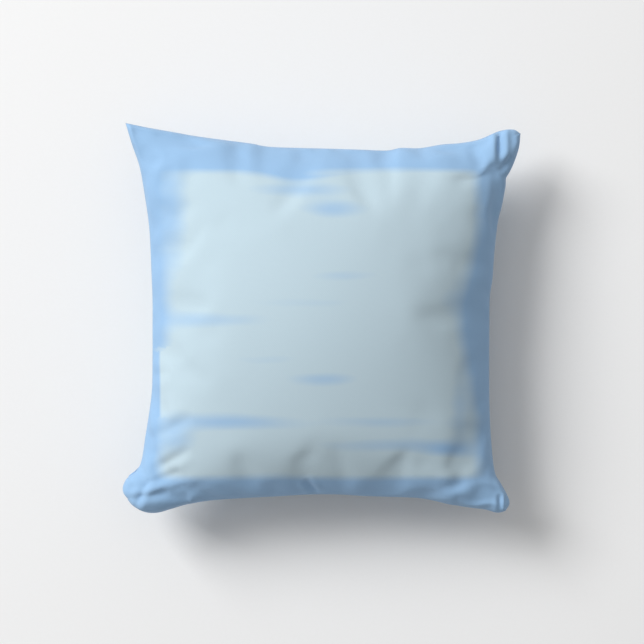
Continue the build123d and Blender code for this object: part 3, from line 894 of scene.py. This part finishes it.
@dataclass
class InnerCushion:
    """The inner cushion's two cotton panels and the stuffing, hidden in the closed cover."""

    form: PillowForm
    moved: tuple
    count: int = 91
    inset: float = 12.0
    gap: float = 2.2

    def shell(self, side: int, inset: float, gap: float, trim: float = 0) -> np.ndarray:
        """A panel's grid, inside the cover's by inset at the seam and by gap at the crown."""
        u, v, p, q = self.form.steps(self.count)
        flat = self.form.uneven_plan(p, q, inset, trim, True)
        rise = (self.form.rise_front if side > 0 else self.form.rise_back) - gap
        z = self.form.seam_height + side * rise * self.form.height(u, v)
        if side < 0:
            z = np.sqrt(np.maximum(z - gap, 0) ** 2 + 0.25) + gap
        points = np.concatenate([flat, z[..., None]], -1)
        grid = self.moved[0 if side > 0 else 1]
        if grid is not None:
            points = points + 0.6 * refined(grid, self.count) * self.form.rim_fade(u, v)[..., None]
        return points

    def build_panel(self, name: str, side: int, material: bpy.types.Material) -> None:
        """Builds one cotton panel with its thickness."""
        points = self.shell(side, self.inset, self.gap)
        faces = grid_faces(self.count, self.count)
        piece = make_piece(name + "_panel", points, (faces if side > 0 else faces[:, ::-1]).tolist(), material)
        thick = piece.modifiers.new("cloth", "SOLIDIFY")
        thick.thickness = 0.5 * MM
        thick.offset = -1
        finish_piece(piece, "cover", "insert_cloth", name)

    def build_fill(self) -> None:
        """Builds the stuffing: one closed, softly lumpy mass."""
        n = self.count
        front = self.shell(1, self.inset + 3, self.gap + 3, 12)
        back = self.shell(-1, self.inset + 3, self.gap + 3, 12)
        for side, grid in ((1, front), (-1, back)):
            x, y = grid[..., 0], grid[..., 1]
            lumps = np.sin(x / 11 + 1.3 * np.sin(y / 23)) * np.sin(y / 13 + 1.1 * np.sin(x / 19))
            grid += self.form.normals(grid, side) * (0.9 * (lumps - 1))[..., None]
        rim = CoverCloth(self.form).rim(n)
        number = np.arange(n * n).reshape(n, n)
        back_number = number.copy()
        back_number[1:-1, 1:-1] = n * n + np.arange((n - 2) ** 2).reshape(n - 2, n - 2)
        front_flat = front.reshape(-1, 3)
        front_flat[rim] = (front_flat[rim] + back.reshape(-1, 3)[rim]) / 2
        points = np.vstack([front_flat, back[1:-1, 1:-1].reshape(-1, 3)])
        faces = grid_faces(n, n)
        both = np.vstack([faces, back_number.ravel()[faces][:, ::-1]])
        piece = make_piece("insert_fill_fibre", points, both.tolist(), FIBRE.build())
        finish_piece(piece, "cover", "polyester_fill", "insert_fill")

    def build(self) -> None:
        """Builds the panels and the stuffing."""
        cloth = INNER_CLOTH.build()
        self.build_panel("insert_front", 1, cloth)
        self.build_panel("insert_back", -1, cloth)
        self.build_fill()


@dataclass
class CareLabel:
    """A blank satin label that hangs from the left seam inside the cover."""

    thickness: float = 0.3
    curl: float = 0.5

    def build(self) -> None:
        """Builds the label as a thin closed sheet whose middle bellies gently."""
        low, high = (np.array(corner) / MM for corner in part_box("care_label"))
        across = np.linspace(0, 1, 36)
        turn = np.linspace(0, 1, 14)
        a, b = np.meshgrid(across, turn)
        x = (low[0] + high[0]) / 2 + self.curl * np.sin(np.pi * b) * np.sin(2 * np.pi * a)
        y = low[1] + (high[1] - low[1]) * a
        z = high[2] - (high[2] - low[2]) * b
        points = np.stack([x, y, z], -1)
        piece = make_piece("care_label_satin", points, grid_faces(14, 36).tolist(), SATIN.build())
        thick = piece.modifiers.new("satin", "SOLIDIFY")
        thick.thickness = self.thickness * MM
        thick.offset = 0
        finish_piece(piece, "cover", "label_satin", "care_label")


# ------------------------------------------------------------------ the zip
@dataclass
class Zip:
    """The nylon coil zip in the bottom seam."""

    sewing: Sewing
    coil_pitch: float = 1.4
    filament: float = 0.3

    def coil(self, side: int) -> None:
        """Builds one coil: a flattened helix that fills the CAD coil's box, so it clears the slider."""
        name = "zipper_coil_front" if side > 0 else "zipper_coil_back"
        low, high = (np.array(corner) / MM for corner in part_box(name))
        _, y, z = (low + high) / 2
        reach = (high[2] - low[2]) / 2 - self.filament
        shift = 0 if side > 0 else self.coil_pitch / 2
        start = low[0] + self.filament + shift
        end = high[0] - self.filament - self.coil_pitch / 2 + shift
        path = np.array([[start, y, z], [end, y, z]])
        turns = (path[1, 0] - path[0, 0]) / self.coil_pitch
        points, faces = self.sewing.wound(
            path, turns, np.array([0.0, 0.0, -side * reach]), np.array([0.0, 0.6, 0.0]),
            self.filament, 12, 7,
        )
        piece = outward(make_piece(name + "_filament", points, faces, self.nylon))
        finish_piece(piece, "cover", "zipper_nylon", name)

    def tape(self, side: int) -> None:
        """Builds one tape: a thin strip with a rounded selvedge and faint ribs along it."""
        name = "zipper_tape_front" if side > 0 else "zipper_tape_back"
        low, high = (np.array(corner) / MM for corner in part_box(name))
        x = np.linspace(low[0], high[0], 261)
        turn = np.linspace(0, 2 * np.pi, 49)[:-1]
        half_z, half_y = (high[2] - low[2]) / 2, (high[1] - low[1]) / 2
        across = np.sign(np.cos(turn)) * np.abs(np.cos(turn)) ** 0.25
        deep = np.sign(np.sin(turn)) * np.abs(np.sin(turn)) ** 0.5
        rib = 1 - 0.12 * (0.5 + 0.5 * np.cos(across * 22))
        points = np.empty((len(x), len(turn), 3))
        points[..., 0] = x[:, None]
        points[..., 1] = (low[1] + high[1]) / 2 + half_y * deep * rib
        points[..., 2] = (low[2] + high[2]) / 2 + half_z * across
        sides = len(turn)
        last = (len(x) - 1) * sides
        faces = grid_faces(len(x), sides, wrap=True).tolist()
        faces += [list(range(sides)), list(range(last + sides - 1, last - 1, -1))]
        piece = outward(make_piece(name + "_weave", points, faces, self.woven))
        finish_piece(piece, "cover", "zipper_tape", name)

    def stitch_row(self, side: int) -> None:
        """Builds the row of stitches that holds a tape."""
        name = "zipper_stitches_front" if side > 0 else "zipper_stitches_back"
        low, high = (np.array(corner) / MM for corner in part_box(name))
        x = np.arange(low[0], high[0], self.sewing.pitch)
        centre = (low + high) / 2
        line = np.column_stack([x, np.full(len(x), centre[1]), np.full(len(x), centre[2])])
        points, faces = self.sewing.stitches(line, 0.0)
        piece = outward(make_piece(name + "_row", points, faces, self.thread))
        finish_piece(piece, "cover", "thread", name)

    def rounded(self, node: str, body: str, slot: str, width: float, material: bpy.types.Material) -> None:
        """Builds a part from its node's mesh, with its edges rounded over."""
        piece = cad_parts[node].copy()
        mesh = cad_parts[node].data.copy()
        piece = bpy.data.objects.new(node + "_rounded", mesh)
        bpy.context.scene.collection.objects.link(piece)
        mesh.materials.clear()
        mesh.materials.append(material)
        bpy.context.view_layer.objects.active = piece
        bpy.ops.object.select_all(action="DESELECT")
        piece.select_set(True)
        bpy.ops.object.mode_set(mode="EDIT")
        bpy.ops.mesh.select_all(action="SELECT")
        bpy.ops.mesh.remove_doubles(threshold=1e-6)
        bpy.ops.mesh.normals_make_consistent(inside=False)
        bpy.ops.mesh.dissolve_limited(angle_limit=math.radians(1))
        bpy.ops.object.mode_set(mode="OBJECT")
        mesh.shade_smooth()
        bevel = piece.modifiers.new("round", "BEVEL")
        bevel.width = width * MM
        bevel.segments = 3
        bevel.limit_method = "ANGLE"
        bevel.angle_limit = math.radians(35)
        bevel.harden_normals = True
        finish_piece(piece, body, slot, node)

    def build(self) -> None:
        """Builds the zip's pieces."""
        self.nylon, self.woven, self.thread = NYLON.build(), TAPE.build(), THREAD.build()
        for side in (1, -1):
            self.coil(side)
            self.tape(side)
            self.stitch_row(side)
        tin, enamel = TIN.build(), ENAMEL.build()
        self.rounded("zipper_top_stops", "cover", "stop_metal", 0.2, tin)
        self.rounded("zipper_bottom_stop", "cover", "stop_metal", 0.3, tin)
        self.rounded("zipper_slider", "slider", "slider_enamel", 0.16, enamel)
        self.rounded("zipper_pull", "pull", "slider_enamel", 0.18, enamel)


# ------------------------------------------------------------------ studio
@dataclass
class Studio:
    """A pale floor, one large soft light from the upper left, and a camera straight above."""

    camera_height: float = 2.062
    field: float = 0.644  # width seen at the seam's height, m
    seam: float = 0.062
    key_place: tuple = (-3.7, 2.7, 3.8)
    key_size: float = 2.8
    key_watts: float = 338.0
    horizon: float = 0.22  # brightness of the room at the floor and overhead
    overhead: float = 0.69
    near_side: float = 0.5  # the share of that brightness on the side below the pillow

    def build(self) -> None:
        """Builds the floor, lights, world and camera."""
        scene = bpy.context.scene
        scene.view_settings.view_transform = "Standard"
        floor_mesh = bpy.data.meshes.new("floor")
        half = 4.0
        floor_mesh.from_pydata(
            [(-half, -half, 0), (half, -half, 0), (half, half, 0), (-half, half, 0)], [], [(0, 1, 2, 3)]
        )
        material, tree, shader = new_material("matt_paper_floor")
        place = add(tree, "ShaderNodeTexCoord").outputs["Object"]
        grain = add(tree, "ShaderNodeTexNoise", {"Vector": place, "Scale": 300.0, "Detail": 2.0})
        colour = blend_colours(tree, grain.outputs["Fac"], linear("EAEAEA"), linear("ECECEC"))
        tree.links.new(colour, shader.inputs["Base Color"])
        shader.inputs["Roughness"].default_value = 1.0
        shader.inputs["Specular IOR Level"].default_value = 0.0
        floor_mesh.materials.append(material)
        floor = bpy.data.objects.new("floor", floor_mesh)
        scene.collection.objects.link(floor)
        world = bpy.data.worlds.new("studio")
        world.use_nodes = True
        background = world.node_tree.nodes["Background"]
        background.inputs[0].default_value = (1.0, 1.0, 1.0, 1.0)
        up = add(world.node_tree, "ShaderNodeSeparateXYZ", {
            0: add(world.node_tree, "ShaderNodeTexCoord").outputs["Generated"]
        })
        links = {0: up.outputs[2], 1: 0.0, 2: 1.0, 3: self.horizon, 4: self.overhead}
        glow = add(world.node_tree, "ShaderNodeMapRange", links)
        links = {0: up.outputs[1], 1: -1.0, 2: 0.4, 3: self.near_side, 4: 1.0}
        far = add(world.node_tree, "ShaderNodeMapRange", links)
        strength = math_node(world.node_tree, "MULTIPLY", glow.outputs[0], far.outputs[0])
        world.node_tree.links.new(strength, background.inputs[1])
        scene.world = world
        light = bpy.data.lights.new("key", "AREA")
        light.energy = self.key_watts
        light.size = self.key_size
        key = bpy.data.objects.new("key", light)
        key.location = self.key_place
        key.rotation_euler = (-Vector(self.key_place)).to_track_quat("-Z", "Y").to_euler()
        scene.collection.objects.link(key)
        camera = bpy.data.cameras.new("camera")
        camera.sensor_width = 36.0
        camera.lens = 36.0 * (self.camera_height - self.seam) / self.field
        view = bpy.data.objects.new("camera", camera)
        view.location = (0.0, CAMERA_Y * MM, self.camera_height)
        scene.collection.objects.link(view)
        scene.camera = view


def main() -> None:
    """Builds the pillow and the studio."""
    logging.basicConfig(level=logging.INFO, format="%(name)s: %(message)s")
    Studio().build()
    form = PillowForm()
    moved = CoverCloth(form).build()
    sewing = Sewing(form)
    sewing.build()
    InnerCushion(form, moved).build()
    CareLabel().build()
    Zip(sewing).build()


if __name__ == "__main__":
    main()
